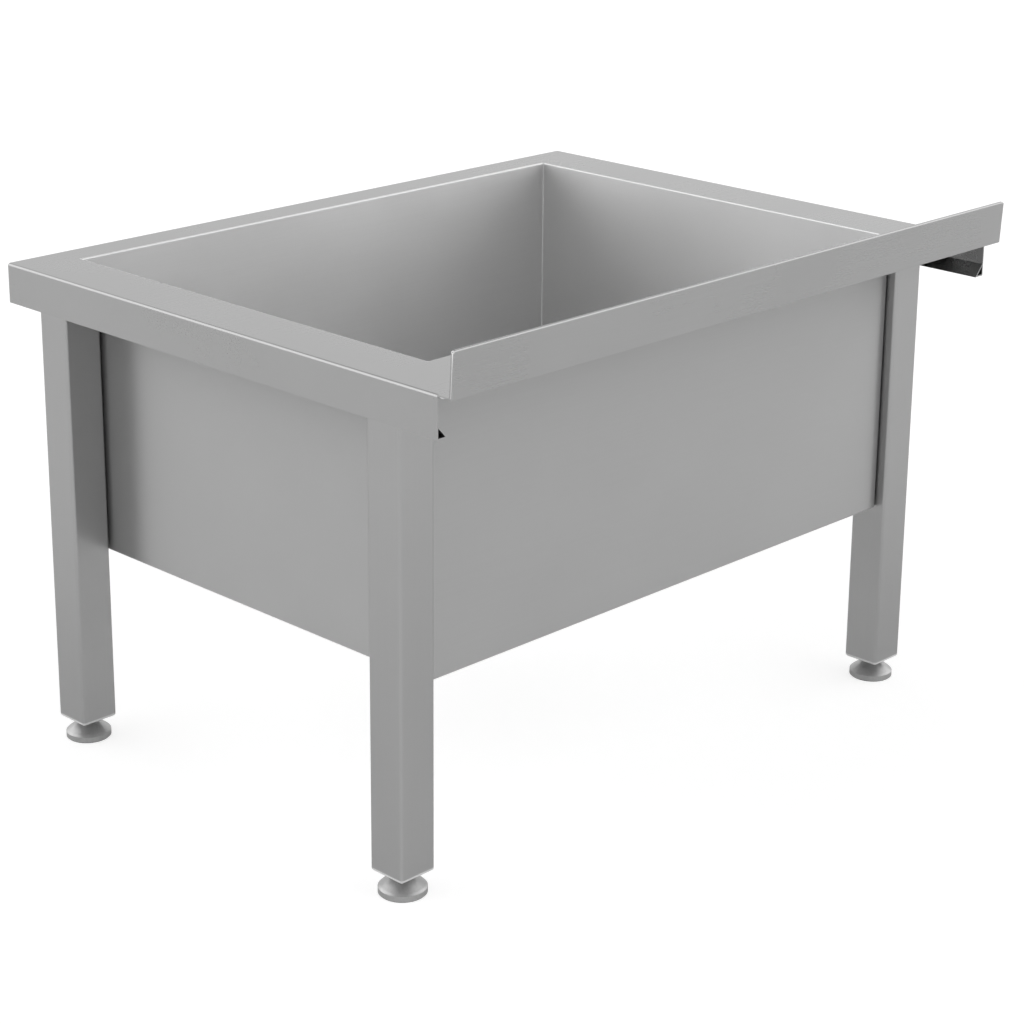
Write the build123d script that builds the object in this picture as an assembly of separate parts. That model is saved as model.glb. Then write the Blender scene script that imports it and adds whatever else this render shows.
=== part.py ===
from build123d import *
import os
from math import cos, radians, sqrt, tan

# Free-standing utility laundry sink in folded stainless sheet: one deep basin hung in a flat rim,
# a low upstand along the wall side, four square legs on screw feet, and a basket waste in the floor.
# Millimetres. The origin is on the floor under the middle of the rim. +X is to the right of a
# person who stands in front of the sink, -Y is the front, +Y is the wall side and +Z is up.

# --- whole object -------------------------------------------------------------------------------
overall_length = 750.0      # rim, end to end
overall_depth = 600.0       # front fascia to the top edge of the upstand
rim_height = 480.0          # floor to rim with the feet screwed right in
basin_depth = 285.0         # rim to basin floor, beside the walls
upstand_height = 40.0       # above the rim
upstand_lean = 3.0          # degrees, top edge towards the wall
upstand_thickness = 3.6     # the sheet folded over and back down, with a slot between its two leaves
upstand_corner_radius = 3.0 # top corners at both ends
upstand_top_radius = 1.6    # fold along the top

# --- rim sheet ----------------------------------------------------------------------------------
rim_sheet = 1.2             # sheet thickness
fold_inside_radius = 1.2    # inside radius of every fold in the rim sheet
front_rim_width = 36.0      # front fascia to basin opening
rear_ledge_width = 90.0     # basin opening to the outer foot of the upstand
fascia_height = 38.0
fascia_corner_radius = 3.2  # welded and ground corner between front and end fascias
fascia_rear_gap = 17.0      # the end fascias stop this far from the outer foot of the upstand
hem_return = 12.0           # bottom of the fascia, folded inwards
hem_rise = 13.0             # height at which the hem's slanted leaf comes back to the fascia
lip_radius = 1.8            # rolled edge of the basin opening
lip_depth = 11.0            # rim down to the weld between rim sheet and tub

# --- basin tub ----------------------------------------------------------------------------------
tub_sheet = 1.2
tub_corner_radius = 1.5     # upright corners, inside
tub_floor_bevel = 1.2       # slanted seam from wall to floor, inside
floor_fall = 6.0            # from the walls to the waste
waste_recess_depth = 3.5
recess_clearance = 2.0      # around the waste flange
recess_margin = 3.0         # flat square around the recess

# --- legs ---------------------------------------------------------------------------------------
leg_width = 40.0            # square tube
leg_wall = 1.5
leg_edge_radius = 3.0
leg_tub_gap = 1.8           # leg to the end wall of the tub
leg_hem_gap = 5.0           # leg to the hem of the end fascia
front_leg_hem_gap = 13.0    # front leg to the hem of the front fascia
rear_leg_step = 9.8         # rear legs stand this far behind the rear wall of the tub

# --- leg sockets and their bolts ----------------------------------------------------------------
socket_plate = 3.0
socket_plate_overhang = 10.0
socket_lip_gap = 0.8        # plate to the rolled edge of the basin opening
socket_fit_gap = 0.2        # stub to the inside of the leg, each side
socket_wall = 2.5
socket_stub_length = 52.0
stub_edge_radius = 1.6
bolt_drop = 24.0            # socket plate to bolt axis
bolt_radius = 4.0
bolt_hole_clearance = 0.5
bolt_length = 16.0
bolt_head_across_flats = 13.0
bolt_head_height = 5.3
bolt_head_chamfer = 0.6
bolt_thread_gap = 0.05
washer_radius = 8.0
washer_thickness = 1.6
weld_nut_radius = 8.0
weld_nut_height = 6.5

# --- screw feet ---------------------------------------------------------------------------------
foot_radius = 22.0
foot_height = 15.0          # metal base, without its rubber pad
foot_hub_radius = 9.5
foot_band_height = 7.0      # edge of the base, up to the foot of its cone
foot_edge_chamfer = 1.8     # top of the band
pad_inset = 0.9             # rubber pad inside the edge of the base
pad_recess = 1.0
pad_thickness = 1.8
stud_radius = 5.0
stud_thread_gap = 0.05      # stud to the bore of the plug
stud_above_plug = 9.0       # stud end above the plug with the foot screwed in
stud_tip_chamfer = 1.0
stud_hex_across_flats = 14.0
stud_hex_height = 4.0
trunnion_radius = 4.0       # lower end of the stud, which turns in the base
trunnion_length = 8.0
trunnion_gap = 0.05
hex_base_gap = 0.2
hex_plug_gap = 0.8
plug_flange = 3.0
plug_flange_chamfer = 1.5
plug_fit_gap = 0.15         # plug to the inside of the leg, each side
plug_body_height = 25.0
plug_wall = 2.0
plug_boss_radius = 8.5
plug_rib = 2.0

# --- basket waste -------------------------------------------------------------------------------
waste_flange_radius = 56.0
waste_flange = 1.5
waste_flange_chamfer = 0.8
waste_body_radius = 43.0
waste_wall = 2.5
waste_barrel_length = 28.0  # straight, threaded part below the flange
waste_cone_length = 10.0
outlet_radius = 23.9        # one-and-a-half-inch pipe thread, outside
outlet_length = 16.0
outlet_wall = 3.0
waste_hole_gap = 1.0        # barrel to the hole in the tub
washer_bore_gap = 0.3
flange_gasket = 1.5
gasket_inset = 0.3          # gasket inside the edge of the flange
rubber_washer = 3.0
rubber_washer_radius = 56.0
slip_washer = 1.0
slip_washer_radius = 54.0
locknut_radius = 51.0
locknut_height = 9.0
locknut_bore_gap = 0.1
locknut_lugs = 8
locknut_lug_length = 6.0
locknut_lug_width = 9.0

# --- lift-out basket ----------------------------------------------------------------------------
basket_sheet = 0.8
basket_rim_width = 4.2
basket_rim_gap = 0.3        # rim to the step in the waste flange
basket_ledge = 2.0          # step that the basket's rim rests on
basket_depth = 24.0
basket_slot_count = 12
basket_slot_height = 12.0   # slots in the wall
basket_slot_width = 2.4
floor_slot_start = 13.0     # radius at which the slots in the basket's floor begin
floor_slot_length = 18.0
post_radius = 3.0
post_fit_gap = 0.05
post_collar_radius = 6.0    # the cup rests on this collar
stopper_radius = 27.0
stopper_thickness = 5.0
stopper_seat_gap = 0.3
knob_radius = 8.0
knob_height = 8.0
knob_waist_radius = 5.0
knob_waist_height = 2.5
knob_flare = 2.0            # waist up to the grip's full width
knob_edge = 1.0

# --- for the construction itself ------------------------------------------------------------------
same_place = 0.01           # places nearer than this are taken as one
cutter_reach = 4            # length of a cutting tool, in thicknesses of the wall that it goes through

# --- places that follow from the sizes ------------------------------------------------------------
half_length = overall_length / 2
front_y = -overall_depth / 2
rim_underside = rim_height - rim_sheet
fold_outside_radius = fold_inside_radius + rim_sheet
upstand_slope = tan(radians(upstand_lean))
rim_rear_y = overall_depth / 2 - (upstand_height + rim_sheet - upstand_top_radius) * upstand_slope
fold_rear_y = rim_rear_y - fascia_rear_gap
fascia_bottom = rim_height - fascia_height

end_rim_width = hem_return + leg_hem_gap + leg_width + leg_tub_gap + tub_sheet
opening_length = overall_length - 2 * end_rim_width
opening_front_y = front_y + front_rim_width
opening_rear_y = rim_rear_y - rear_ledge_width
opening_depth = opening_rear_y - opening_front_y
opening_centre_y = (opening_front_y + opening_rear_y) / 2

lip_bottom = rim_height - lip_depth
floor_z = rim_height - basin_depth
pan_z = floor_z - floor_fall
seat_z = pan_z - waste_recess_depth
recess_radius = waste_flange_radius + recess_clearance
waste_hole_radius = waste_body_radius + waste_hole_gap
waste_places = Pos(0, opening_centre_y, seat_z)

foot_top = pad_thickness - pad_recess + foot_height
foot_bottom = pad_thickness - pad_recess
hex_bottom = foot_top + hex_base_gap
hex_top = hex_bottom + stud_hex_height
leg_plug_bottom = hex_top + hex_plug_gap
leg_bottom = leg_plug_bottom + plug_flange
leg_top = rim_underside - socket_plate
leg_inside = leg_width - 2 * leg_wall
leg_inside_radius = leg_edge_radius - leg_wall
bolt_z = leg_top - bolt_drop

leg_x = half_length - hem_return - leg_hem_gap - leg_width / 2
front_leg_y = front_y + hem_return + front_leg_hem_gap + leg_width / 2
rear_leg_y = opening_rear_y + tub_sheet + rear_leg_step - leg_width / 2
leg_places = {
    "front_left": (-leg_x, front_leg_y),
    "front_right": (leg_x, front_leg_y),
    "rear_left": (-leg_x, rear_leg_y),
    "rear_right": (leg_x, rear_leg_y),
}


def edges_at(shape, height, keep):
    """Edges whose middle is at a height and passes a test."""
    return [e for e in shape.edges() if abs(e.center().Z - height) < same_place and keep(e.center())]


def upright(length, depth, radius, low, high):
    """Upright prism on a rectangle with rounded corners, centred on the Z axis."""
    outline = RectangleRounded(length, depth, radius)
    return extrude(Pos(0, 0, low) * outline, amount=high - low)


def ring(outer_radius, inner_radius, low, high):
    """Flat ring about the Z axis."""
    return extrude(Pos(0, 0, low) * (Circle(outer_radius) - Circle(inner_radius)), amount=high - low)


def frustum(low_length, low_depth, low, high_length, high_depth, high):
    """Block with a rectangle at each height and flat slanting sides, centred on the Z axis."""
    signs = [(-1, -1), (1, -1), (1, 1), (-1, 1)]
    lower = [(i * low_length / 2, j * low_depth / 2, low) for i, j in signs]
    upper = [(i * high_length / 2, j * high_depth / 2, high) for i, j in signs]
    faces = [make_face(Polyline(*lower, close=True)), make_face(Polyline(*upper, close=True))]
    for k in range(4):
        side = (lower[k - 1], lower[k], upper[k], upper[k - 1])
        faces.append(make_face(Polyline(*side, close=True)))
    return Solid(Shell(faces))


def turned(*points):
    """Solid of revolution about the Z axis from an outline of (radius, height) points."""
    outline = make_face(Plane.XZ * Polyline(*points, close=True))
    return revolve(outline, axis=Axis.Z)


# --- rim sheet ----------------------------------------------------------------------------------
def folded_block(inset, radius, corner_radius, low, rear):
    """Block with the front upright edges and the three folded top edges rounded."""
    length = overall_length - 2 * inset
    depth = rear - front_y - inset
    top = rim_height - inset
    block = Pos(0, front_y + inset, low) * Box(
        length, depth, top - low, align=(Align.CENTER, Align.MIN, Align.MIN))
    front_uprights = block.edges().filter_by(Axis.Z).group_by(Axis.Y)[0]
    block = fillet(front_uprights, corner_radius)
    return fillet(edges_at(block, top, lambda c: c.Y < rear - same_place), radius)


def hem(outer_block):
    """Closed triangular hem along the bottom of the front and end fascias, mitred at the corners."""
    leaf = make_face(Polyline((0, 0), (hem_return, 0), (0, hem_rise), close=True))
    tube = leaf - offset(leaf, -rim_sheet, kind=Kind.INTERSECTION)
    start = Plane(origin=(half_length, fold_rear_y, fascia_bottom), x_dir=(-1, 0, 0), z_dir=(0, 1, 0))
    right, left = half_length, -half_length
    corners = [(right, fold_rear_y), (right, front_y), (left, front_y), (left, fold_rear_y)]
    path = Polyline(*[(x, y, fascia_bottom) for x, y in corners])
    return sweep(start * tube, path=path, transition=Transition.RIGHT) & outer_block


def upstand():
    """Rear strip of the rim and the upstand, folded up, over and back down, one section along X."""
    across = 1 / cos(radians(upstand_lean))
    thickness = upstand_thickness * across
    leaf = rim_sheet * across
    foot_y = rim_rear_y + rim_sheet * upstand_slope
    top_y = rim_rear_y + (upstand_height + rim_sheet) * upstand_slope
    top_z = rim_height + upstand_height
    slot_top = top_z - upstand_thickness / 2
    slot_y = rim_rear_y + (slot_top - rim_underside) * upstand_slope
    slot_foot_y = rim_rear_y - thickness + leaf
    section = make_face(Polyline(
        (fold_rear_y, rim_underside), (slot_foot_y, rim_underside), (slot_y - thickness + leaf, slot_top),
        (slot_y - leaf, slot_top), (rim_rear_y - leaf, rim_underside), (rim_rear_y, rim_underside),
        (top_y, top_z), (top_y - thickness, top_z), (foot_y - thickness, rim_height),
        (fold_rear_y, rim_height), close=True))

    def corner(y, z):
        return section.vertices().sort_by_distance((y, z))[0]

    section = fillet([corner(top_y, top_z), corner(top_y - thickness, top_z)], upstand_top_radius)
    section = fillet(corner(slot_foot_y, rim_underside), fold_outside_radius)
    section = fillet(corner(foot_y - thickness, rim_height), fold_inside_radius)
    strip = extrude(Plane.YZ.offset(-half_length) * section, amount=overall_length)
    front_view = Pos(0, 0, (fascia_bottom + top_z) / 2) * Box(
        overall_length, overall_depth, top_z - fascia_bottom)
    top_corners = front_view.edges().filter_by(Axis.Y).group_by(Axis.Z)[-1]
    return strip & fillet(top_corners, upstand_corner_radius)


def top_sheet():
    """Flat rim with folded and hemmed fascias, the upstand, and the rolled lip of the basin opening."""
    outer = folded_block(0, fold_outside_radius, fascia_corner_radius, fascia_bottom, fold_rear_y)
    hollow = folded_block(rim_sheet, fold_inside_radius, fascia_corner_radius - rim_sheet,
                          fascia_bottom - rim_sheet, fold_rear_y + rim_sheet)
    sheet = outer - hollow + hem(outer) + upstand()
    lip_outer = upright(opening_length + 2 * rim_sheet, opening_depth + 2 * rim_sheet,
                        tub_corner_radius + rim_sheet, lip_bottom, rim_underside)
    sheet += Pos(0, opening_centre_y, 0) * lip_outer
    reach_x = opening_length / 2 + 2 * rim_sheet
    reach_y = opening_depth / 2 + 2 * rim_sheet

    def near_opening(c):
        return abs(c.X) < reach_x and abs(c.Y - opening_centre_y) < reach_y

    sheet = fillet(edges_at(sheet, rim_underside, near_opening), lip_radius - rim_sheet)
    sheet -= Pos(0, opening_centre_y, 0) * upright(opening_length, opening_depth, tub_corner_radius,
                                                   lip_bottom - rim_sheet, rim_height + rim_sheet)
    return fillet(edges_at(sheet, rim_height, near_opening), lip_radius)


# --- basin tub ----------------------------------------------------------------------------------
def tub_form(grow):
    """Inside of the tub, or its outside when grown by the sheet: walls, floor, fall and recess."""
    form = upright(opening_length + 2 * grow, opening_depth + 2 * grow, tub_corner_radius + grow,
                   floor_z - grow, lip_bottom)
    form = chamfer(form.faces().sort_by(Axis.Z)[0].edges(), tub_floor_bevel + grow * (2 - sqrt(2)))
    pan_inset = 2 * (tub_floor_bevel + tub_sheet)
    square = 2 * (recess_radius + tub_sheet + recess_margin)
    pan = frustum(square, square, pan_z - grow,
                  opening_length - pan_inset, opening_depth - pan_inset, floor_z - grow)
    recess = Pos(0, 0, seat_z - grow) * extrude(Circle(recess_radius + grow), amount=waste_recess_depth)
    return form + pan + recess


def basin_tub():
    tub = tub_form(tub_sheet) - tub_form(0)
    tub -= Pos(0, 0, seat_z) * Cylinder(waste_hole_radius, cutter_reach * tub_sheet)
    return Pos(0, opening_centre_y, 0) * tub


# --- legs and how they are fixed ------------------------------------------------------------------
def leg(x, y):
    tube = upright(leg_width, leg_width, leg_edge_radius, leg_bottom, leg_top)
    tube -= upright(leg_inside, leg_inside, leg_inside_radius, leg_bottom, leg_top)
    hole = Cylinder(bolt_radius + bolt_hole_clearance, cutter_reach * leg_wall, rotation=(90, 0, 0))
    tube -= Pos(0, -leg_width / 2, bolt_z) * hole
    return Pos(x, y, 0) * tube


def leg_socket(x, y):
    """Plate welded under the rim with a square stub that the leg slides over, and a weld nut in it."""
    side = 1 if x > 0 else -1
    stub_width = leg_inside - 2 * socket_fit_gap
    hollow_width = stub_width - 2 * socket_wall
    inner = leg_width / 2 + leg_tub_gap - (lip_radius - rim_sheet) - socket_lip_gap
    outer = leg_width / 2 + socket_plate_overhang
    plate = Box(inner + outer, leg_width + 2 * socket_plate_overhang, socket_plate,
                align=(Align.CENTER, Align.CENTER, Align.MIN))
    plate = Pos(side * (outer - inner) / 2, 0, leg_top) * plate
    stub = upright(stub_width, stub_width, stub_edge_radius, leg_top - socket_stub_length, leg_top)
    stub -= upright(hollow_width, hollow_width, stub_edge_radius / 2, leg_top - socket_stub_length, leg_top)
    nut_height = weld_nut_height + socket_wall / 2
    nut = Pos(0, -hollow_width / 2 - socket_wall / 2, bolt_z) * extrude(
        Plane.ZX * RegularPolygon(weld_nut_radius, 6), amount=nut_height)
    thread = Pos(0, -stub_width / 2, bolt_z) * Cylinder(
        bolt_radius + bolt_thread_gap, cutter_reach * (weld_nut_height + socket_wall), rotation=(90, 0, 0))
    near_wall = Pos(0, -stub_width / 2, bolt_z) * Box(stub_width, stub_width, cutter_reach * weld_nut_radius)
    return Pos(x, y, 0) * (plate + stub + nut - (thread & near_wall))


def leg_bolt(x, y):
    """Hexagon bolt through the leg wall into the weld nut, head towards the front."""
    seat_y = y - leg_width / 2 - washer_thickness
    head = extrude(Plane.XZ * RegularPolygon(bolt_head_across_flats / 2, 6, major_radius=False),
                   amount=bolt_head_height)
    head = chamfer(head.faces().sort_by(Axis.Y)[0].edges(), bolt_head_chamfer)
    shank = Pos(0, bolt_length / 2, 0) * Cylinder(bolt_radius, bolt_length, rotation=(90, 0, 0))
    return Pos(x, seat_y, bolt_z) * (head + shank)


def bolt_washer(x, y):
    seat_y = y - leg_width / 2
    plate = Circle(washer_radius) - Circle(bolt_radius + bolt_hole_clearance)
    return Pos(x, seat_y, bolt_z) * extrude(Plane.XZ * plate, amount=washer_thickness)


# --- screw feet -----------------------------------------------------------------------------------
def leg_plug(x, y):
    """Moulded plug in the foot of the leg: flange, ribbed body and the threaded boss for the stud."""
    body_top = leg_bottom + plug_body_height
    body_width = leg_inside - 2 * plug_fit_gap
    cavity_width = body_width - 2 * plug_wall
    flange = upright(leg_width, leg_width, leg_edge_radius, leg_plug_bottom, leg_bottom)
    flange = chamfer(flange.faces().sort_by(Axis.Z)[0].edges(), plug_flange_chamfer)
    body = upright(body_width, body_width, leg_inside_radius, leg_bottom, body_top)
    body -= upright(cavity_width, cavity_width, leg_inside_radius / 2, leg_bottom, body_top)
    middle = Pos(0, 0, leg_bottom)
    rib = middle * Box(cavity_width + plug_wall, plug_rib, plug_body_height,
                       align=(Align.CENTER, Align.CENTER, Align.MIN))
    boss = middle * extrude(Circle(plug_boss_radius), amount=plug_body_height)
    plug = flange + body + rib + Rot(0, 0, 90) * rib + boss
    plug -= Pos(0, 0, leg_plug_bottom) * extrude(Circle(stud_radius + stud_thread_gap),
                                                 amount=plug_flange + plug_body_height)
    return Pos(x, y, 0) * plug


def foot_stud(x, y):
    """Threaded stud with a spanner hexagon and a plain trunnion that turns in the base."""
    stud_top = leg_bottom + plug_body_height + stud_above_plug
    shank = Pos(0, 0, hex_bottom) * extrude(Circle(stud_radius), amount=stud_top - hex_bottom)
    shank = chamfer(shank.faces().sort_by(Axis.Z)[-1].edges(), stud_tip_chamfer)
    hexagon = Pos(0, 0, hex_bottom) * extrude(
        RegularPolygon(stud_hex_across_flats / 2, 6, major_radius=False), amount=stud_hex_height)
    trunnion = Pos(0, 0, foot_top - trunnion_length) * extrude(
        Circle(trunnion_radius), amount=trunnion_length + hex_base_gap)
    return Pos(x, y, 0) * (shank + hexagon + trunnion)


def foot_base(x, y):
    """Round base: straight edge, conical top up to the hub, and the bore for the stud's trunnion."""
    socket_radius = trunnion_radius + trunnion_gap
    socket_floor = foot_top - trunnion_length - hex_base_gap
    pad_radius = foot_radius - pad_inset
    band_top = foot_bottom + foot_band_height
    base = turned(
        (0, foot_bottom + pad_recess), (pad_radius, foot_bottom + pad_recess), (pad_radius, foot_bottom),
        (foot_radius, foot_bottom), (foot_radius, band_top - foot_edge_chamfer),
        (foot_radius - foot_edge_chamfer, band_top), (foot_hub_radius, foot_top),
        (socket_radius, foot_top), (socket_radius, socket_floor), (0, socket_floor))
    return Pos(x, y, 0) * base


def foot_pad(x, y):
    """Rubber pad in the recess under the base."""
    return Pos(x, y, 0) * extrude(Circle(foot_radius - pad_inset), amount=pad_thickness)


# --- basket waste ---------------------------------------------------------------------------------
# Heights below are from the seat, the top of the recessed ring in the tub floor.
flange_top = flange_gasket + waste_flange
barrel_bottom = -waste_barrel_length
cone_bottom = barrel_bottom - waste_cone_length
outlet_bottom = cone_bottom - outlet_length
bowl_radius = waste_body_radius - waste_wall
outlet_bore = outlet_radius - outlet_wall
ledge_z = flange_top - basket_sheet - basket_rim_gap
ledge_radius = bowl_radius + basket_ledge
basket_rim_radius = ledge_radius - basket_rim_gap
basket_radius = basket_rim_radius - basket_rim_width
basket_floor = ledge_z - basket_depth
bowl_cone_top = barrel_bottom + waste_wall / 2
bowl_cone_bottom = cone_bottom + waste_wall / 2
cone_slope = (bowl_cone_top - bowl_cone_bottom) / (bowl_radius - outlet_bore)
stopper_bottom = bowl_cone_bottom + (stopper_radius - outlet_bore) * cone_slope + stopper_seat_gap
knob_bottom = ledge_z - knob_height / 2


def waste_body():
    """Flange, threaded barrel, cone and threaded outlet, with the step for the basket's rim."""
    body = turned(
        (ledge_radius, flange_top), (waste_flange_radius, flange_top), (waste_flange_radius, flange_gasket),
        (waste_body_radius, flange_gasket), (waste_body_radius, barrel_bottom), (outlet_radius, cone_bottom),
        (outlet_radius, outlet_bottom), (outlet_bore, outlet_bottom), (outlet_bore, bowl_cone_bottom),
        (bowl_radius, bowl_cone_top), (bowl_radius, ledge_z), (ledge_radius, ledge_z))
    rim_edge = body.edges().filter_by(GeomType.CIRCLE).group_by(Axis.Z)[-1].sort_by(SortBy.RADIUS)[-1]
    return waste_places * chamfer(rim_edge, waste_flange_chamfer)


def waste_locknut():
    """Ring nut under the tub, with lugs for the spanner."""
    top = -tub_sheet - rubber_washer - slip_washer
    nut = ring(locknut_radius, waste_body_radius + locknut_bore_gap, top - locknut_height, top)
    lug = Pos(locknut_radius, 0, top - locknut_height / 2) * Box(
        locknut_lug_length, locknut_lug_width, locknut_height)
    for turn in range(locknut_lugs):
        nut += Rot(0, 0, turn * 360 / locknut_lugs) * lug
    return waste_places * nut


def waste_seals():
    """Flange gasket above the tub floor, rubber washer and slip washer below it."""
    bore = waste_body_radius + washer_bore_gap
    rubber_top = -tub_sheet
    slip_top = rubber_top - rubber_washer
    return {
        "waste_flange_gasket": waste_places * ring(waste_flange_radius - gasket_inset, waste_hole_radius,
                                                   0, flange_gasket),
        "waste_rubber_washer": waste_places * ring(rubber_washer_radius, bore, slip_top, rubber_top),
        "waste_slip_washer": waste_places * ring(slip_washer_radius, bore, slip_top - slip_washer, slip_top),
    }


def basket_cup():
    """Perforated cup that hangs by its rim on the step in the flange."""
    wall = basket_radius - basket_sheet
    rim_top = ledge_z + basket_sheet
    cup = turned(
        (post_radius + post_fit_gap, basket_floor), (basket_radius, basket_floor), (basket_radius, ledge_z),
        (basket_rim_radius, ledge_z), (basket_rim_radius, rim_top), (wall, rim_top),
        (wall, basket_floor + basket_sheet), (post_radius + post_fit_gap, basket_floor + basket_sheet))
    through = cutter_reach * basket_sheet
    slot_z = (ledge_z + basket_floor) / 2
    wall_slot = Pos(basket_radius, 0, slot_z) * Box(through, basket_slot_width, basket_slot_height)
    floor_slot = Pos(floor_slot_start, 0, basket_floor) * Box(
        floor_slot_length, basket_slot_width, through, align=(Align.MIN, Align.CENTER, Align.CENTER))
    for turn in range(basket_slot_count):
        cup -= Rot(0, 0, turn * 360 / basket_slot_count) * (wall_slot + floor_slot)
    return waste_places * cup


def basket_post():
    """Rod from the stopper up through the cup to the knob, with a collar that the cup rests on."""
    rod = Pos(0, 0, stopper_bottom) * extrude(Circle(post_radius), amount=knob_bottom - stopper_bottom)
    collar_bottom = stopper_bottom + stopper_thickness
    collar_length = basket_floor - collar_bottom
    collar = Pos(0, 0, collar_bottom) * extrude(Circle(post_collar_radius), amount=collar_length)
    return waste_places * (rod + collar)


def basket_stopper():
    """Rubber disc that closes the outlet when the basket is down."""
    taper = stopper_thickness / 2
    wide_radius = stopper_radius + taper / cone_slope / 2
    top = stopper_bottom + stopper_thickness
    disc = turned(
        (post_radius, stopper_bottom), (stopper_radius, stopper_bottom),
        (wide_radius, stopper_bottom + taper), (wide_radius, top), (post_radius, top))
    return waste_places * disc


def basket_knob():
    """Grip on top of the post, waisted for the fingers."""
    top = knob_bottom + knob_height
    waist_top = knob_bottom + knob_waist_height
    grip = turned(
        (0, knob_bottom), (knob_waist_radius, knob_bottom), (knob_waist_radius, waist_top),
        (knob_radius, waist_top + knob_flare), (knob_radius, top - knob_edge),
        (knob_radius - knob_edge, top), (0, top))
    return waste_places * grip


# --- every piece, by the name of its node ---------------------------------------------------------
pieces = {"top_sheet": top_sheet(), "basin_tub": basin_tub()}
for corner, place in leg_places.items():
    pieces["leg_" + corner] = leg(*place)
    pieces["leg_socket_" + corner] = leg_socket(*place)
    pieces["leg_plug_" + corner] = leg_plug(*place)
    pieces["foot_stud_" + corner] = foot_stud(*place)
    pieces["foot_base_" + corner] = foot_base(*place)
    pieces["foot_pad_" + corner] = foot_pad(*place)
pieces["leg_bolts"] = Compound([leg_bolt(*place).solid() for place in leg_places.values()])
pieces["leg_bolt_washers"] = Compound([bolt_washer(*place).solid() for place in leg_places.values()])
pieces["waste_body"] = waste_body()
pieces.update(waste_seals())
pieces["waste_locknut"] = waste_locknut()
pieces["basket_cup"] = basket_cup()
pieces["basket_post"] = basket_post()
pieces["basket_stopper"] = basket_stopper()
pieces["basket_knob"] = basket_knob()

os.makedirs("parts", exist_ok=True)
for name, shape in pieces.items():
    export_step(shape, f"parts/{name}.step")
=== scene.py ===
# %% [markdown]
# # A stainless laundry sink
# The sink is folded from satin stainless sheet: a deep basin hangs in a flat rim, the wall side of the rim
# turns up into a low upstand, and four square legs stand on screw feet. The sheet metal, the legs, the feet
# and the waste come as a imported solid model, which is loaded first and never changed. This notebook gives
# those parts their finish, models what the solid model leaves plain, the screw threads and the welds, and
# lights it all.

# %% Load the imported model
import bpy
from math import cos, pi, radians, sin, tan
from mathutils import Matrix, Vector


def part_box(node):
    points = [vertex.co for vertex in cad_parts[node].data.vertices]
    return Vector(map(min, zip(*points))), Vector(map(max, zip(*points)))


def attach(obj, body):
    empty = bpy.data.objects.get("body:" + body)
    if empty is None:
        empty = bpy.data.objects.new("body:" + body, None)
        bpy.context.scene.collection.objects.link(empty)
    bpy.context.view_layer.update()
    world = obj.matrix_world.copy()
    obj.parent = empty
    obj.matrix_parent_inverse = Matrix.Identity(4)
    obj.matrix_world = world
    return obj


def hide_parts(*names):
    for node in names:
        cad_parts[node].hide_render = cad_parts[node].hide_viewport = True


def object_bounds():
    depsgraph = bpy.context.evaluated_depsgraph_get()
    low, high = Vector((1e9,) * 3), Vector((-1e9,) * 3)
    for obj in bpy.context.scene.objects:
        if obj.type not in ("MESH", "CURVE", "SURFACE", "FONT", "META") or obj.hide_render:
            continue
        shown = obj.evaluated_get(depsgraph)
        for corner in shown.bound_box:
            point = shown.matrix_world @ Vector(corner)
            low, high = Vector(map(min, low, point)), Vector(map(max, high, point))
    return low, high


MM = 0.001                  # a millimetre in metres, Blender's unit

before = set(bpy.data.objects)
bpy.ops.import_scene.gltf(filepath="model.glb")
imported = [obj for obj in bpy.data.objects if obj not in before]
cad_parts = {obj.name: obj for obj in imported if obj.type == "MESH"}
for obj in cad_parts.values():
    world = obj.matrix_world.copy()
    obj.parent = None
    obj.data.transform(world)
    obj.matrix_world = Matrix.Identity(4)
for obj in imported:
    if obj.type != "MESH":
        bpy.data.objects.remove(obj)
cad_low, cad_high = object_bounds()
print("box of the solid model:", tuple(cad_low), tuple(cad_high))

# %% [markdown]
# ## The camera
# The picture is taken from behind the sink, over its wall side, and a little above the rim. A long lens keeps
# the far legs nearly as large as the near one. The picture's upright edges are parallel, which a camera that
# looks down gives only when its lens is shifted, so the camera has a small vertical shift. The heading is
# measured from -Y towards -X, the pitch is below the horizon, and the roll turns the picture in its plane.

# %% Camera
IMAGE_SIDE = 1024           # pixels, square picture
SENSOR = 36.0               # mm
FOCAL_PIXELS = 2542.8
CENTRE_PIXEL_Y = 410.0      # where the lens axis meets the picture, from the top
CAMERA_PLACE = Vector((1.6983, 1.6536, 1.0720))     # metres
HEADING, PITCH, ROLL = radians(45.72), radians(17.584), radians(0.493)

forward = Vector((-sin(HEADING) * cos(PITCH), -cos(HEADING) * cos(PITCH), -sin(PITCH)))
level_right = forward.cross(Vector((0, 0, 1))).normalized()
level_up = level_right.cross(forward)
right = cos(ROLL) * level_right + sin(ROLL) * level_up
up = cos(ROLL) * level_up - sin(ROLL) * level_right

camera_data = bpy.data.cameras.new("camera")
camera_data.sensor_width = SENSOR
camera_data.lens = FOCAL_PIXELS / IMAGE_SIDE * SENSOR
camera_data.shift_y = (CENTRE_PIXEL_Y - IMAGE_SIDE / 2) / IMAGE_SIDE
camera = bpy.data.objects.new("camera", camera_data)
bpy.context.scene.collection.objects.link(camera)
camera.matrix_world = Matrix.Translation(CAMERA_PLACE) @ Matrix((right, up, -forward)).transposed().to_4x4()
bpy.context.scene.camera = camera
print("lens %.1f mm, shift %.3f" % (camera_data.lens, camera_data.shift_y))

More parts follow.
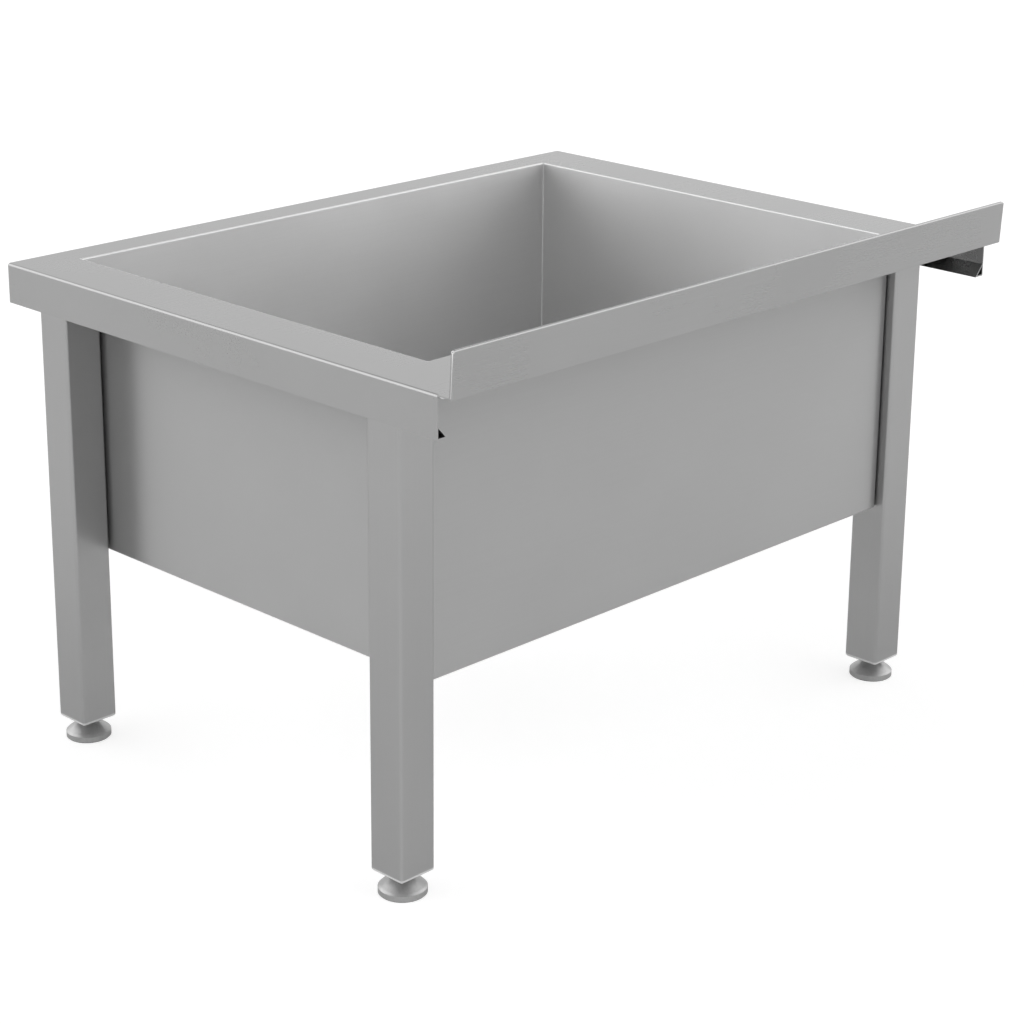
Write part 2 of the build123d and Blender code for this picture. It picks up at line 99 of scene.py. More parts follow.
# %% [markdown]
# ## Satin stainless steel
# Sheet for sinks is ground with a belt, which leaves fine parallel scratches. They do two things: close up
# they show as faint streaks, and from afar they smear every reflection across their own direction. The
# streaks are a noise that is stretched along the grain, used for a little colour, roughness and bump. The
# smear is the shader's anisotropy, whose tangent is set across the grain. A second, slow noise gives the
# cloudy look of handled steel. The belt runs along the sheet, so on walls the grain is level, and on the tube
# of the legs it is upright.

# %% A new material, and helpers for its nodes
def new_material(name):
    """Empty node material with a Principled shader; gives the material, its node list and the shader."""
    material = bpy.data.materials.new(name)
    material.use_nodes = True
    nodes = material.node_tree.nodes
    nodes.clear()
    output = nodes.new("ShaderNodeOutputMaterial")
    shader = nodes.new("ShaderNodeBsdfPrincipled")
    material.node_tree.links.new(shader.outputs["BSDF"], output.inputs["Surface"])
    return material, nodes, shader


def object_noise(material, stretch, scale, detail=3.0, roughness=0.55):
    """Noise on Object coordinates, stretched by a scale along each axis; gives its value socket."""
    nodes, links = material.node_tree.nodes, material.node_tree.links
    place = nodes.new("ShaderNodeTexCoord")
    mapping = nodes.new("ShaderNodeMapping")
    mapping.inputs["Scale"].default_value = stretch
    noise = nodes.new("ShaderNodeTexNoise")
    noise.inputs["Scale"].default_value = scale
    noise.inputs["Detail"].default_value = detail
    noise.inputs["Roughness"].default_value = roughness
    links.new(place.outputs["Object"], mapping.inputs["Vector"])
    links.new(mapping.outputs["Vector"], noise.inputs["Vector"])
    return noise.outputs["Fac"]


def spread(material, value, low, high, from_low=0.3, from_high=0.7):
    """Maps a value, by default a noise between 0.3 and 0.7, onto a range; gives the result's socket."""
    nodes, links = material.node_tree.nodes, material.node_tree.links
    ramp = nodes.new("ShaderNodeMapRange")
    ramp.inputs["From Min"].default_value = from_low
    ramp.inputs["From Max"].default_value = from_high
    ramp.inputs["To Min"].default_value = low
    ramp.inputs["To Max"].default_value = high
    links.new(value, ramp.inputs["Value"])
    return ramp.outputs["Result"]


def calculate(material, operation, first, second):
    """Math node on a socket and a second socket or a number; gives the result's socket."""
    node = material.node_tree.nodes.new("ShaderNodeMath")
    node.operation = operation
    material.node_tree.links.new(first, node.inputs[0])
    if isinstance(second, float):
        node.inputs[1].default_value = second
    else:
        material.node_tree.links.new(second, node.inputs[1])
    return node.outputs["Value"]


def tint(material, shader, value, colour):
    """Multiplies a colour by a value and feeds it to the shader's base colour."""
    nodes, links = material.node_tree.nodes, material.node_tree.links
    scale = nodes.new("ShaderNodeVectorMath")
    scale.operation = "SCALE"
    scale.inputs[0].default_value = colour
    links.new(value, scale.inputs["Scale"])
    links.new(scale.outputs["Vector"], shader.inputs["Base Color"])


def bump(material, shader, height, distance, strength):
    """Feeds a height to the shader's normal."""
    nodes, links = material.node_tree.nodes, material.node_tree.links
    node = nodes.new("ShaderNodeBump")
    node.inputs["Distance"].default_value = distance
    node.inputs["Strength"].default_value = strength
    links.new(height, node.inputs["Height"])
    links.new(node.outputs["Normal"], shader.inputs["Normal"])


# %% Directions of the grain
GRAIN_ACROSS, GRAIN_ALONG = 900.0, 7.0      # streaks per metre, across and along the grain
LEVEL_GRAIN_X = (GRAIN_ALONG, GRAIN_ACROSS, GRAIN_ACROSS)
UPRIGHT_GRAIN = (GRAIN_ACROSS, GRAIN_ACROSS, GRAIN_ALONG)
UP_SHARE = 0.3              # upward part of the level grain's tangent, small beside the Y of a level face


def across_level_grain(material):
    """Tangent across a level grain: up on walls, and along Y on level faces, where the belt ran along X."""
    nodes, links = material.node_tree.nodes, material.node_tree.links
    surface = nodes.new("ShaderNodeNewGeometry")
    parts = nodes.new("ShaderNodeSeparateXYZ")
    links.new(surface.outputs["True Normal"], parts.inputs["Vector"])
    tip = nodes.new("ShaderNodeMath")
    tip.operation = "ABSOLUTE"
    links.new(parts.outputs["Z"], tip.inputs[0])
    direction = nodes.new("ShaderNodeCombineXYZ")
    direction.inputs["Z"].default_value = UP_SHARE
    links.new(tip.outputs["Value"], direction.inputs["Y"])
    return direction.outputs["Vector"]


def across_upright_grain(material):
    """Tangent across an upright grain: level, in the plane of the wall."""
    nodes, links = material.node_tree.nodes, material.node_tree.links
    surface = nodes.new("ShaderNodeNewGeometry")
    cross = nodes.new("ShaderNodeVectorMath")
    cross.operation = "CROSS_PRODUCT"
    cross.inputs[1].default_value = (0, 0, 1)
    links.new(surface.outputs["True Normal"], cross.inputs[0])
    return cross.outputs["Vector"]


# %% Brushed steel
CLOUD_SCALE = 9.0                           # clouds per metre
STREAK_TONE, CLOUD_TONE = 0.013, 0.012      # share by which they lighten and darken the metal
STREAK_ROUGHNESS, CLOUD_ROUGHNESS = 0.03, 0.05
SCRATCH_DEPTH, SCRATCH_STRENGTH = 0.00002, 0.15     # metres, and the share of that bump which is used


def around(material, value, share, middle=1.0):
    """Maps a noise onto a middle value and a share of it to both sides; gives the result's socket."""
    return spread(material, value, middle * (1 - share), middle * (1 + share))


def grey(tone):
    """Colour with three equal parts."""
    return tone, tone, tone


def brushed_steel(name, tone, roughness, anisotropy, grain, tangent, metallic):
    """Satin steel: streaks and clouds in colour, roughness and height, and a smear across the grain."""
    material, nodes, shader = new_material(name)
    links = material.node_tree.links
    streaks = object_noise(material, grain, 1.0, detail=5.0, roughness=0.7)
    clouds = object_noise(material, (1, 1, 1), CLOUD_SCALE, detail=4.0)
    uneven = calculate(material, "MULTIPLY", around(material, streaks, STREAK_TONE),
                       around(material, clouds, CLOUD_TONE))
    tint(material, shader, uneven, grey(tone))
    rough = calculate(material, "MULTIPLY", around(material, streaks, STREAK_ROUGHNESS, roughness),
                      around(material, clouds, CLOUD_ROUGHNESS))
    links.new(rough, shader.inputs["Roughness"])
    bump(material, shader, streaks, SCRATCH_DEPTH, SCRATCH_STRENGTH)
    shader.inputs["Metallic"].default_value = metallic
    shader.inputs["Anisotropic"].default_value = anisotropy
    links.new(tangent(material), shader.inputs["Tangent"])
    return material


# %% Rim, basin and legs
RIM, RIM_ROUGHNESS, RIM_METALLIC, RIM_ANISOTROPY = 0.385, 0.28, 1.0, 0.6
DULL, DULL_ROUGHNESS = 0.375, 0.38                  # reflectance and roughness of the basin's outer side
BASIN_METALLIC, BASIN_ANISOTROPY = 0.78, 0.92       # both sides
LEG, LEG_ROUGHNESS, LEG_METALLIC, LEG_ANISOTROPY = 0.42, 0.36, 1.0, 0.5
rim_steel = brushed_steel("rim_steel", RIM, RIM_ROUGHNESS, RIM_ANISOTROPY,
                          LEVEL_GRAIN_X, across_level_grain, RIM_METALLIC)
tub_steel = brushed_steel("tub_steel", DULL, DULL_ROUGHNESS, BASIN_ANISOTROPY,
                          LEVEL_GRAIN_X, across_level_grain, BASIN_METALLIC)
leg_steel = brushed_steel("leg_steel", LEG, LEG_ROUGHNESS, LEG_ANISOTROPY,
                          UPRIGHT_GRAIN, across_upright_grain, LEG_METALLIC)
print("steel:", rim_steel.name, tub_steel.name, leg_steel.name)

# %% [markdown]
# ### The polished side of the basin sheet
# Basin sheet is polished on the side that holds the water and left dull on the other. Both sides are one
# node, so the polish is mixed in by place, on Object coordinates: inside a box that ends within the thickness
# of the walls. The rim's rolled edge, down to where the basin is welded on, is polished along with the basin.

# %% Where the polish is, in metres
SHEET, ROLL_RADIUS = 0.0012, 0.0018         # thickness, and outer radius of the rolled edge
RIM_TOP = 0.480
basin_low, basin_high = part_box("basin_tub")
BASIN_MIDDLE = ((basin_low[0] + basin_high[0]) / 2, (basin_low[1] + basin_high[1]) / 2, 0)
BASIN_HALF_X = (basin_high[0] - basin_low[0] - SHEET) / 2       # to the middle of the walls' thickness
BASIN_HALF_Y = (basin_high[1] - basin_low[1] - SHEET) / 2
ROLL_WIDTH = ROLL_RADIUS - SHEET / 2        # how far the rolled edge reaches past the box
ROLL_FOOT = RIM_TOP - ROLL_RADIUS
print("polished box: %.1f x %.1f mm" % (2 * BASIN_HALF_X / MM, 2 * BASIN_HALF_Y / MM))


def basin_place(material):
    """Distances from the basin's middle along X and Y, and the height; gives their three sockets."""
    nodes, links = material.node_tree.nodes, material.node_tree.links
    place = nodes.new("ShaderNodeTexCoord")
    offset = nodes.new("ShaderNodeVectorMath")
    offset.operation = "SUBTRACT"
    offset.inputs[1].default_value = BASIN_MIDDLE
    links.new(place.outputs["Object"], offset.inputs[0])
    size = nodes.new("ShaderNodeVectorMath")
    size.operation = "ABSOLUTE"
    links.new(offset.outputs["Vector"], size.inputs[0])
    parts = nodes.new("ShaderNodeSeparateXYZ")
    links.new(size.outputs["Vector"], parts.inputs["Vector"])
    return parts.outputs["X"], parts.outputs["Y"], parts.outputs["Z"]


def inside_basin(material, x, y, extra):
    """1 inside the box widened by extra, and 0 outside; gives its socket."""
    return calculate(material, "MULTIPLY", calculate(material, "LESS_THAN", x, BASIN_HALF_X + extra),
                     calculate(material, "LESS_THAN", y, BASIN_HALF_Y + extra))


# %% Polish the basin and the rolled edge
POLISHED, POLISHED_ROUGHNESS = 0.69, 0.33           # reflectance and roughness of the inner side


def inside_or_on_roll(material):
    """1 inside the basin and over the whole rolled edge, and 0 elsewhere; gives its socket."""
    x, y, z = basin_place(material)
    roll = calculate(material, "MULTIPLY", inside_basin(material, x, y, ROLL_WIDTH),
                     calculate(material, "GREATER_THAN", z, ROLL_FOOT))
    return calculate(material, "MAXIMUM", inside_basin(material, x, y, 0.0), roll)


def polish(material, tone, roughness, metallic, anisotropy):
    """Mixes the polished side into a steel with these values, where it is inside the basin."""
    links = material.node_tree.links
    shader = next(node for node in material.node_tree.nodes if node.type == "BSDF_PRINCIPLED")
    sockets = shader.inputs
    inside = inside_or_on_roll(material)
    brighter = material.node_tree.nodes.new("ShaderNodeVectorMath")
    brighter.operation = "SCALE"
    links.new(sockets["Base Color"].links[0].from_socket, brighter.inputs[0])
    links.new(spread(material, inside, 1.0, POLISHED / tone, 0, 1), brighter.inputs["Scale"])
    links.new(brighter.outputs["Vector"], sockets["Base Color"])
    smoother = spread(material, inside, 1.0, POLISHED_ROUGHNESS / roughness, 0, 1)
    dull_roughness = sockets["Roughness"].links[0].from_socket
    links.new(calculate(material, "MULTIPLY", dull_roughness, smoother), sockets["Roughness"])
    links.new(spread(material, inside, metallic, BASIN_METALLIC, 0, 1), sockets["Metallic"])
    links.new(spread(material, inside, anisotropy, BASIN_ANISOTROPY, 0, 1), sockets["Anisotropic"])


polish(tub_steel, DULL, DULL_ROUGHNESS, BASIN_METALLIC, BASIN_ANISOTROPY)
polish(rim_steel, RIM, RIM_ROUGHNESS, RIM_METALLIC, RIM_ANISOTROPY)
print("reflectance inside %.2f, outside %.2f" % (POLISHED, DULL))

# %% [markdown]
# ## Plain metal, rubber and plastic
# The feet, bolts and the basket are turned or pressed, so they have no long grain, only a fine unevenness.
# Rubber is nearly black and dull. The white ring nut under the basin is moulded plastic with a soft gloss.

# %% Small-part finishes
FINE_SCALE, STAIN_SCALE = 600.0, 60.0       # noises per metre: the skin of a part, and its stains
STAIN_TONE, STAIN_ROUGHNESS = 0.04, 0.15    # share by which stains change tone and roughness
SKIN_DEPTH, SKIN_STRENGTH = 0.00005, 0.3    # metres, and the share of that bump which is used


def small_finish(name, colour, roughness, metallic=0.0, uneven=0.05):
    """Even finish for small parts: fine noise in colour, roughness and height."""
    material, nodes, shader = new_material(name)
    fine = object_noise(material, (1, 1, 1), FINE_SCALE, detail=4.0)
    stains = object_noise(material, (1, 1, 1), STAIN_SCALE, detail=3.0)
    tone = calculate(material, "MULTIPLY", around(material, fine, uneven),
                     around(material, stains, STAIN_TONE))
    tint(material, shader, tone, colour)
    rough = around(material, stains, STAIN_ROUGHNESS, roughness)
    material.node_tree.links.new(rough, shader.inputs["Roughness"])
    bump(material, shader, fine, SKIN_DEPTH, SKIN_STRENGTH)
    shader.inputs["Metallic"].default_value = metallic
    return material


turned_steel = small_finish("turned_steel", grey(0.42), 0.42, metallic=1.0)
ground_weld = small_finish("ground_weld", grey(0.66), 0.32, metallic=1.0)
bolt_steel = small_finish("bolt_steel", grey(0.46), 0.38, metallic=1.0)
bowl_steel = small_finish("bowl_steel", grey(0.52), 0.22, metallic=1.0)
black_rubber = small_finish("black_rubber", grey(0.035), 0.75, uneven=0.12)
white_plastic = small_finish("white_plastic", (0.72, 0.72, 0.70), 0.42, uneven=0.02)
grey_plastic = small_finish("grey_plastic", grey(0.60), 0.45, uneven=0.04)
brown_fibre = small_finish("brown_fibre", (0.30, 0.19, 0.11), 0.85, uneven=0.2)
print("finishes so far:", [material.name for material in bpy.data.materials])

# %% Give every loaded node its finish
# The foot pads are black rubber soles, and their black line under each foot disc is also painted shade: it
# stands in for the shade under the disc.
FINISH_BY_START = {
    "top_sheet": rim_steel, "basin_tub": tub_steel, "leg_socket": leg_steel, "leg_plug": grey_plastic,
    "leg_bolt": bolt_steel, "leg_": leg_steel, "foot_base": turned_steel, "foot_stud": bolt_steel,
    "foot_pad": black_rubber, "waste_body": bowl_steel, "waste_flange_gasket": black_rubber,
    "waste_rubber": black_rubber, "waste_slip": brown_fibre, "waste_locknut": white_plastic,
    "basket_stopper": black_rubber, "basket": bowl_steel,
}
for name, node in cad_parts.items():
    finish = next(material for start, material in FINISH_BY_START.items() if name.startswith(start))
    node.data.materials.clear()
    node.data.materials.append(finish)
print("finished", len(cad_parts), "nodes")

# %% [markdown]
# ## Screw threads
# The solid model leaves every thread a plain cylinder. A thread is one profile carried round an axis while it
# climbs by its pitch each turn, which is what Blender's Screw modifier does. Each threaded piece is modelled
# on the upright axis at the origin, and its vertices are then moved to where the plain one stood, so that its
# object stays at the origin.

# %% Helpers for modelled pieces
SHARP_ANGLE = radians(32)                           # edges sharper than this stay sharp
SEAM_MERGE, TURN_MERGE, THREAD_MERGE = 1e-5, 1e-6, 2e-6     # metres within which points become one


def activate(piece):
    """Makes one object the only selected and the active one."""
    bpy.ops.object.select_all(action="DESELECT")
    piece.select_set(True)
    bpy.context.view_layer.objects.active = piece


def half_section(name, points):
    """Open line through (radius, height) points in mm, in the XZ plane."""
    mesh = bpy.data.meshes.new(name)
    mesh.from_pydata([(radius * MM, 0, height * MM) for radius, height in points],
                     [(i, i + 1) for i in range(len(points) - 1)], [])
    line = bpy.data.objects.new(name, mesh)
    bpy.context.scene.collection.objects.link(line)
    activate(line)
    return line


def spun(name, section, steps):
    """Turned piece: a section of (radius, height) points in mm, spun round Z."""
    piece = half_section(name, section)
    bpy.ops.object.mode_set(mode="EDIT")
    bpy.ops.mesh.select_all(action="SELECT")
    bpy.ops.mesh.spin(steps=steps, angle=2 * pi, center=(0, 0, 0), axis=(0, 0, 1))
    bpy.ops.mesh.select_all(action="SELECT")
    bpy.ops.mesh.remove_doubles(threshold=SEAM_MERGE)
    bpy.ops.mesh.normals_make_consistent(inside=False)
    bpy.ops.object.mode_set(mode="OBJECT")
    return piece


ROOT_FLAT, CREST_FLAT = 0.12, 0.06      # half the flats of a thread's root and crest, in pitches


def thread(name, crest, depth, pitch, low, high, steps):
    """Thread from one height to another: a V profile of one pitch, carried up round Z (all in mm)."""
    root = crest - depth
    profile = [(root, 0), (root, ROOT_FLAT), (crest, 0.5 - CREST_FLAT), (crest, 0.5 + CREST_FLAT),
               (root, 1 - ROOT_FLAT), (root, 1)]
    piece = half_section(name, [(radius, low + part * pitch) for radius, part in profile])
    screw = piece.modifiers.new("turns", "SCREW")
    screw.angle = 2 * pi
    screw.screw_offset = pitch * MM
    screw.iterations = int((high - low) / pitch)
    screw.steps = screw.render_steps = steps
    screw.use_merge_vertices = True
    screw.merge_threshold = TURN_MERGE
    bpy.ops.object.modifier_apply(modifier="turns")
    bpy.ops.object.mode_set(mode="EDIT")
    bpy.ops.mesh.select_all(action="SELECT")
    bpy.ops.mesh.remove_doubles(threshold=THREAD_MERGE)
    bpy.ops.mesh.normals_make_consistent(inside=False)
    bpy.ops.object.mode_set(mode="OBJECT")
    return piece


def bevelled(piece, size):
    """Takes off every edge of a piece by a size in mm."""
    activate(piece)
    bpy.ops.object.mode_set(mode="EDIT")
    bpy.ops.mesh.select_all(action="SELECT")
    bpy.ops.mesh.bevel(offset=size * MM, segments=2)
    bpy.ops.object.mode_set(mode="OBJECT")
    return piece


def joined(name, parts):
    """Joins meshes into the first one, smooths all but the sharp edges and names the result."""
    activate(parts[0])
    for part in parts[1:]:
        part.select_set(True)
    bpy.ops.object.join()
    whole = bpy.context.object
    whole.name = whole.data.name = name
    bpy.ops.object.shade_smooth_by_angle(angle=SHARP_ANGLE)
    return whole


def placed_copy(model, name, place):
    """Copy of a modelled piece with its own mesh, its vertices moved to a place in metres."""
    mesh = model.data.copy()
    mesh.name = name
    mesh.transform(Matrix.Translation(place))
    piece = bpy.data.objects.new(name, mesh)
    bpy.context.scene.collection.objects.link(piece)
    return piece


def middle_of(node):
    """Middle of a node's box across X and Y, in metres."""
    low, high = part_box(node)
    return (low[0] + high[0]) / 2, (low[1] + high[1]) / 2


# %% [markdown]
# ### The four foot studs
# A stud is an M10 screw with a hexagon, by which the foot is turned to level the sink. Its height above the
# floor is read from the loaded stud, so the modelled one stands exactly where the plain one did.

# %% The model of a stud, in mm
STUD_RADIUS, STUD_PITCH, STUD_THREAD_DEPTH = 5.0, 1.5, 0.85
SHANK_RADIUS, CORE_RADIUS, END_RADIUS = 4.0, 4.2, 3.6       # under the hexagon, in the thread, at both ends
SHANK_CHAMFER, TIP_CHAMFER = 0.4, 0.6                       # heights of the cones at the foot and at the tip
STUD_STEPS = 32
HEX_ACROSS_FLATS, HEX_LOW, HEX_HIGH, HEX_BEVEL = 14.0, 8.2, 12.2, 0.35     # heights above the stud's foot
THREAD_START, THREAD_END = 0.5, 0.7                         # below the hexagon's top, and below the tip

stud_low, stud_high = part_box("foot_stud_front_left")
stud_length = (stud_high[2] - stud_low[2]) / MM
core_section = [(0, 0), (END_RADIUS, 0), (SHANK_RADIUS, SHANK_CHAMFER), (SHANK_RADIUS, HEX_LOW),
                (CORE_RADIUS, HEX_HIGH), (CORE_RADIUS, stud_length - TIP_CHAMFER),
                (END_RADIUS, stud_length), (0, stud_length)]
core = spun("stud_core", core_section, STUD_STEPS)
stud_thread = thread("stud_thread", STUD_RADIUS, STUD_THREAD_DEPTH, STUD_PITCH,
                     HEX_HIGH - THREAD_START, stud_length - THREAD_END, STUD_STEPS)
bpy.ops.object.select_all(action="DESELECT")
bpy.ops.mesh.primitive_cylinder_add(vertices=6, radius=HEX_ACROSS_FLATS / 2 / cos(pi / 6) * MM,
                                    depth=(HEX_HIGH - HEX_LOW) * MM,
                                    location=(0, 0, (HEX_LOW + HEX_HIGH) / 2 * MM), rotation=(0, 0, pi / 6))
bpy.ops.object.transform_apply(location=True, rotation=True, scale=True)
hexagon = bevelled(bpy.context.object, HEX_BEVEL)
stud_model = joined("stud_model", [core, stud_thread, hexagon])
print("stud: %d faces, %.1f mm long" % (len(stud_model.data.polygons), stud_length))

# %% The four studs in their places
for corner in ("front_left", "front_right", "rear_left", "rear_right"):
    node = "foot_stud_" + corner
    x, y = middle_of(node)
    stud = placed_copy(stud_model, "threaded_stud_" + corner, (x, y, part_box(node)[0][2]))
    stud.data.materials.append(bolt_steel)
    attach(stud, "stud_" + corner)
    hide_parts(node)
    print(stud.name, "at", round(x, 4), round(y, 4))
bpy.data.objects.remove(stud_model)

# %% [markdown]
# ### The waste
# The waste body under the basin has a coarse thread for the ring nut and a finer one at its outlet, where a
# trap is screwed on. Its section is spun round its own axis. The section starts at the inner edge of the
# flange, runs down the outside to the outlet and comes back up the inside, over the ledge that carries the
# basket. Heights are from the seat, the recessed ring of the basin floor.

# %% Measures of the waste body, in mm
FLANGE_RADIUS, FLANGE_TOP, FLANGE_FOOT, FLANGE_CHAMFER = 56.0, 3.0, 1.5, 0.8
LEDGE_RADIUS, LEDGE_TOP = 42.5, 1.9
BARREL_RADIUS, BARREL_ROOT, BARREL_FOOT = 43.0, 41.6, -28.0
BOWL_RADIUS = 40.5
OUTLET_RADIUS, OUTLET_ROOT, OUTLET_BORE, OUTLET_FOOT = 23.9, 22.6, 20.9, -54.0
CONE_FOOT, CONE_WALL = -38.0, 1.25              # the cone starts at the barrel's foot; its wall, upright
RUN_OUT = 0.6                                   # height of the cone down to a thread's root
NUT_THREAD_DEPTH, NUT_THREAD_PITCH, NUT_THREAD_LOW, NUT_THREAD_HIGH = 1.3, 3.0, -27.6, -6.0
OUTLET_THREAD_DEPTH, OUTLET_THREAD_PITCH, OUTLET_THREAD_LOW, OUTLET_THREAD_HIGH = 1.2, 2.309, -53.8, -38.8
WASTE_STEPS = 96

waste_outside = [(LEDGE_RADIUS, FLANGE_TOP), (FLANGE_RADIUS - FLANGE_CHAMFER, FLANGE_TOP),
                 (FLANGE_RADIUS, FLANGE_TOP - FLANGE_CHAMFER), (FLANGE_RADIUS, FLANGE_FOOT),
                 (BARREL_RADIUS, FLANGE_FOOT), (BARREL_RADIUS, NUT_THREAD_HIGH + RUN_OUT),
                 (BARREL_ROOT, NUT_THREAD_HIGH), (BARREL_ROOT, BARREL_FOOT), (OUTLET_RADIUS, CONE_FOOT),
                 (OUTLET_ROOT, CONE_FOOT - RUN_OUT), (OUTLET_ROOT, OUTLET_FOOT)]
waste_inside = [(OUTLET_BORE, OUTLET_FOOT), (OUTLET_BORE, CONE_FOOT + CONE_WALL),
                (BOWL_RADIUS, BARREL_FOOT + CONE_WALL), (BOWL_RADIUS, LEDGE_TOP), (LEDGE_RADIUS, LEDGE_TOP),
                (LEDGE_RADIUS, FLANGE_TOP)]
print("waste section:", len(waste_outside) + len(waste_inside), "points")

# %% Waste body
waste_shell = spun("waste_shell", waste_outside + waste_inside, WASTE_STEPS)
nut_thread = thread("nut_thread", BARREL_RADIUS, NUT_THREAD_DEPTH, NUT_THREAD_PITCH,
                    NUT_THREAD_LOW, NUT_THREAD_HIGH, WASTE_STEPS)
outlet_thread = thread("outlet_thread", OUTLET_RADIUS, OUTLET_THREAD_DEPTH, OUTLET_THREAD_PITCH,
                       OUTLET_THREAD_LOW, OUTLET_THREAD_HIGH, WASTE_STEPS)
waste_model = joined("waste_model", [waste_shell, nut_thread, outlet_thread])
waste_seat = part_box("waste_flange_gasket")[0][2]
waste = placed_copy(waste_model, "threaded_waste", (*middle_of("waste_body"), waste_seat))
bpy.data.objects.remove(waste_model)
waste.data.materials.append(bowl_steel)
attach(waste, "sink")
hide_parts("waste_body")
print("waste:", len(waste.data.polygons), "faces")

# %% [markdown]
# ### Welds on the upstand
# The upstand is folded over and back down, and at both ends the slot between its leaves is closed by weld
# that is ground flush, which shows as a lighter edge. Under each end of the rim, where a fascia stops short
# of the upstand, a spot of weld is left as it was: a flattened ball with an uneven skin.

# %% Ground weld in the ends of the fold, in metres
UPSTAND_OUTER_Y, UPSTAND_THICKNESS = 0.29792, 0.0036    # its outer face at the rim's top
UPSTAND_LEAN = radians(3)
WELD_WIDTH, WELD_DEPTH, WELD_LOW, WELD_HIGH = 0.0019, 0.003, 0.4796, 0.5178
WELD_BEVEL = 0.2                                        # mm


def slot_weld(name, side):
    """Upright bar that leans with the upstand and ends flush with it, on the +X or -X side."""
    bpy.ops.object.select_all(action="DESELECT")
    bpy.ops.mesh.primitive_cube_add(size=1, location=(0, 0, 0))
    bar = bpy.context.object
    bar.name = bar.data.name = name
    for vertex in bar.data.vertices:
        part_x, part_y, part_z = vertex.co
        z = WELD_LOW + (part_z + 0.5) * (WELD_HIGH - WELD_LOW)
        face_y = UPSTAND_OUTER_Y + (z - RIM_TOP) * tan(UPSTAND_LEAN)
        vertex.co = (side * (cad_high[0] - WELD_DEPTH / 2) + part_x * WELD_DEPTH,
                     face_y - UPSTAND_THICKNESS / 2 + part_y * WELD_WIDTH, z)
    bevelled(bar, WELD_BEVEL)
    bpy.ops.object.shade_smooth_by_angle(angle=SHARP_ANGLE)
    return bar


welds = [slot_weld("fold_weld_left", 1), slot_weld("fold_weld_right", -1)]
print("fold welds:", [round(weld.dimensions.z / MM, 1) for weld in welds], "mm high")

# %% Weld spots under the rim
SPOT_RADIUS = 1.9                               # mm
SPOT_X, SPOT_Y, SPOT_Z = 0.3722, 0.2843, 0.4780     # metres
SPOT_STRETCH = (1.1, 1.35, 0.6)                 # of the ball along X, Y and Z
LUMP_SHARE = 0.12                               # of the radius
LUMPS_X, LUMPS_Y, LUMPS_Z = 2600, 2300, 2900    # radians per metre


def weld_spot(name, place, seed):
    """Flattened, slightly lumpy ball of weld at a place in metres."""
    bpy.ops.object.select_all(action="DESELECT")
    bpy.ops.mesh.primitive_ico_sphere_add(subdivisions=4, radius=SPOT_RADIUS * MM, location=(0, 0, 0))
    spot = bpy.context.object
    spot.name = spot.data.name = name
    for vertex in spot.data.vertices:
        x, y, z = vertex.co
        lump = sin(x * LUMPS_X + seed) * sin(y * LUMPS_Y - seed) * sin(z * LUMPS_Z + 2 * seed)
        vertex.co = Matrix.Diagonal(SPOT_STRETCH) @ (vertex.co * (1 + LUMP_SHARE * lump)) + Vector(place)
    activate(spot)
    bpy.ops.object.shade_smooth()
    return spot


welds.append(weld_spot("weld_spot_left", (SPOT_X, SPOT_Y, SPOT_Z), 0.4))
welds.append(weld_spot("weld_spot_right", (-SPOT_X, SPOT_Y, SPOT_Z), 1.9))
for weld in welds:
    weld.data.materials.append(ground_weld)
    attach(weld, "sink")
print("welds:", [weld.name for weld in welds])

# %% [markdown]
# ## Floor and light
# The object stands in a white studio. Its walls are white all round and its ceiling is darker, and metal
# shows both as they are. Two broad low lamps stand to the left and the right of the camera's view, so the two
# sides of the sink that the picture shows differ a little in tone. The floor is pale for the light that
# bounces off it and paler in reflections, where it keeps the shadow under the sink. To the camera it is
# white, with only a trace of that shadow.

# %% White walls and a darker ceiling
WALL_LIGHT, CEILING_LIGHT = 1.0, 0.3
WALL_TOP, CEILING_FROM = 0.5, 0.85      # sines of the heights where the wall ends and the ceiling starts
world = bpy.data.worlds.new("studio")
bpy.context.scene.world = world
world.use_nodes = True
world_nodes, world_links = world.node_tree.nodes, world.node_tree.links
background = world_nodes["Background"]
background.inputs["Color"].default_value = (1, 1, 1, 1)
direction = world_nodes.new("ShaderNodeTexCoord")
direction_parts = world_nodes.new("ShaderNodeSeparateXYZ")
world_links.new(direction.outputs["Generated"], direction_parts.inputs["Vector"])
strength = world_nodes.new("ShaderNodeMapRange")
strength.interpolation_type = "SMOOTHSTEP"
strength.inputs["From Min"].default_value = WALL_TOP
strength.inputs["From Max"].default_value = CEILING_FROM
strength.inputs["To Min"].default_value = WALL_LIGHT
strength.inputs["To Max"].default_value = CEILING_LIGHT
world_links.new(direction_parts.outputs["Z"], strength.inputs["Value"])
world_links.new(strength.outputs["Result"], background.inputs["Strength"])
print("studio: walls %.1f, ceiling %.1f" % (WALL_LIGHT, CEILING_LIGHT))

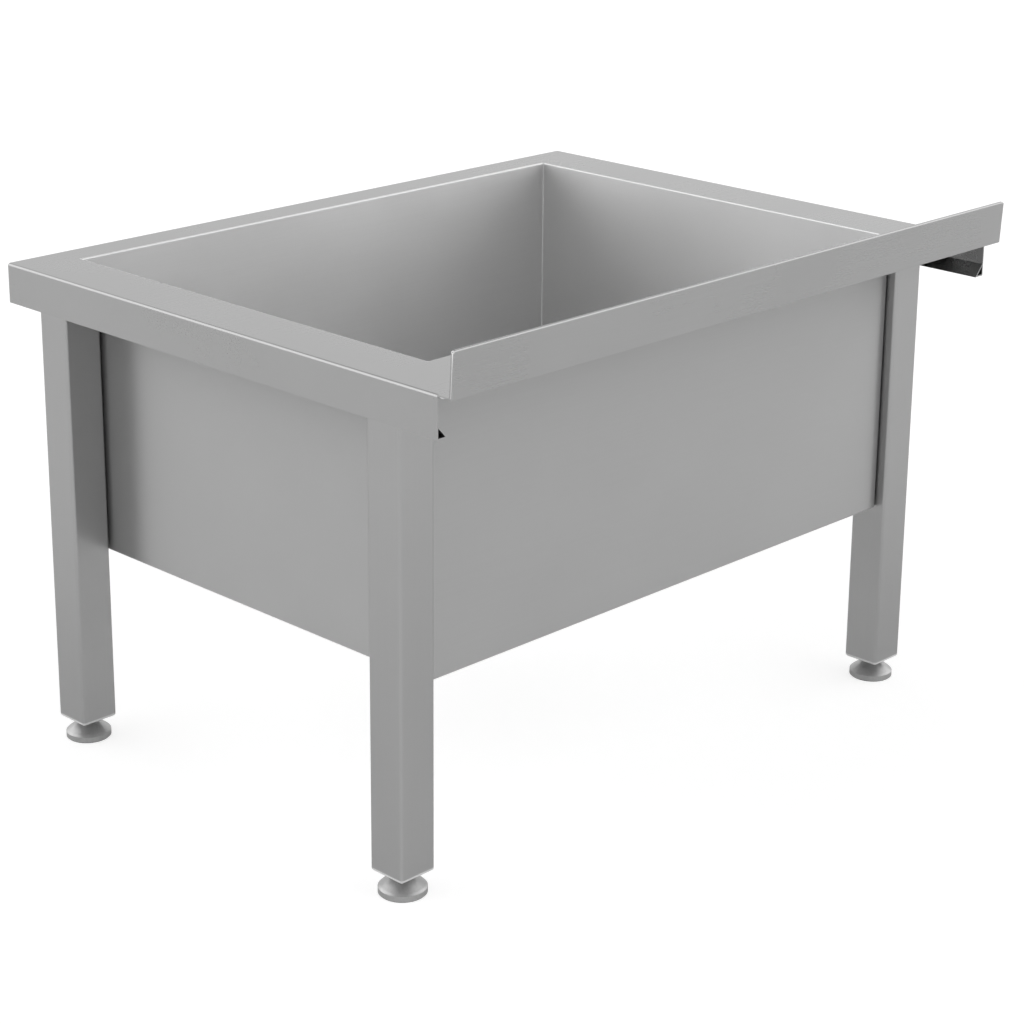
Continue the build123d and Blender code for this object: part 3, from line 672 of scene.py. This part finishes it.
# %% Floor material
FLOOR_BOUNCE, FLOOR_IN_METAL = 0.8, 0.92    # reflectance for light that bounces, and in reflections
FLOOR_SHADED, FLOOR_WHITE = 0.4, 0.72       # for the camera: the part that takes shadows, and the even white
floor_material, floor_nodes, floor_shader = new_material("floor_white")
floor_links = floor_material.node_tree.links
path = floor_nodes.new("ShaderNodeLightPath")
by_camera = path.outputs["Is Camera Ray"]
seen_directly = calculate(floor_material, "MAXIMUM", by_camera, path.outputs["Is Glossy Ray"])
seen_directly = calculate(floor_material, "MAXIMUM", seen_directly, path.outputs["Is Transmission Ray"])
floor_reflected = spread(floor_material, seen_directly, FLOOR_BOUNCE, FLOOR_IN_METAL, 0, 1)
floor_tone = floor_nodes.new("ShaderNodeMapRange")
floor_tone.inputs["To Max"].default_value = FLOOR_SHADED
floor_links.new(by_camera, floor_tone.inputs["Value"])
floor_links.new(floor_reflected, floor_tone.inputs["To Min"])
floor_grey = floor_nodes.new("ShaderNodeCombineColor")
for channel in ("Red", "Green", "Blue"):
    floor_links.new(floor_tone.outputs["Result"], floor_grey.inputs[channel])
floor_links.new(floor_grey.outputs["Color"], floor_shader.inputs["Base Color"])
floor_glow = calculate(floor_material, "MULTIPLY", by_camera, FLOOR_WHITE)
floor_shader.inputs["Emission Color"].default_value = (1, 1, 1, 1)
floor_links.new(floor_glow, floor_shader.inputs["Emission Strength"])
floor_shader.inputs["Roughness"].default_value = 1.0
floor_shader.inputs["Specular IOR Level"].default_value = 0.0
print("floor material:", len(floor_nodes), "nodes")

# %% Floor
FLOOR_SIDE = 60.0           # metres
bpy.ops.object.select_all(action="DESELECT")
bpy.ops.mesh.primitive_plane_add(size=FLOOR_SIDE, location=(0, 0, 0))
floor = bpy.context.object
floor.name = "floor"
floor.data.materials.append(floor_material)
print("floor: %.0f m wide" % floor.dimensions.x)

# %% Lamps
LAMP_HEIGHT, LAMP_WIDTH = radians(18), radians(90)      # above the horizon, and as seen from the sink
LAMPS = (("lamp_left", radians(315), 1.45), ("lamp_right", radians(135), 1.25))     # heading and strength
for name, heading, energy in LAMPS:
    data = bpy.data.lights.new(name, "SUN")
    data.energy = energy
    data.angle = LAMP_WIDTH
    lamp = bpy.data.objects.new(name, data)
    bpy.context.scene.collection.objects.link(lamp)
    towards = Vector((cos(LAMP_HEIGHT) * cos(heading), cos(LAMP_HEIGHT) * sin(heading), sin(LAMP_HEIGHT)))
    lamp.rotation_euler = towards.to_track_quat("Z", "Y").to_euler()
    print("%s: heading %.0f degrees from +X towards +Y, strength %.2f" % (name, heading * 180 / pi, energy))

# %% Colours as written
bpy.context.scene.view_settings.view_transform = "Standard"
print("view transform:", bpy.context.scene.view_settings.view_transform)
